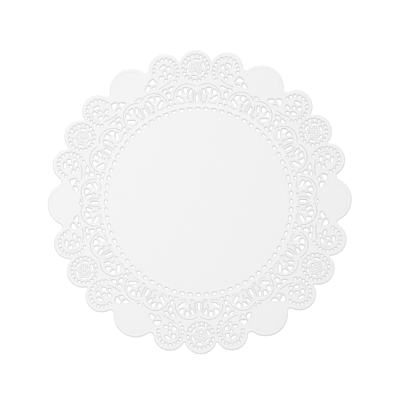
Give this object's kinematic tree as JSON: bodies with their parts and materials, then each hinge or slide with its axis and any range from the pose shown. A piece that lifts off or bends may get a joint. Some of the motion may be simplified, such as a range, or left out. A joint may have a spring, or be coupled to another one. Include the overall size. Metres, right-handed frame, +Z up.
{
  "type": "paper doily",
  "caption": "Flat round paper-lace mat with a scalloped edge, a pierced lace border and a plain round middle.",
  "frame": {"origin": "middle of the underside, where the doily rests on the table", "axes": "+Z up out of the sheet, +X through the middle of a plain scallop"},
  "size_m": [0.3048, 0.3048, 0.001],
  "materials": {
    "paper": "matte embossed white paper"
  },
  "bodies": {
    "root": {"doily": "paper"}
  },
  "joints": []
}
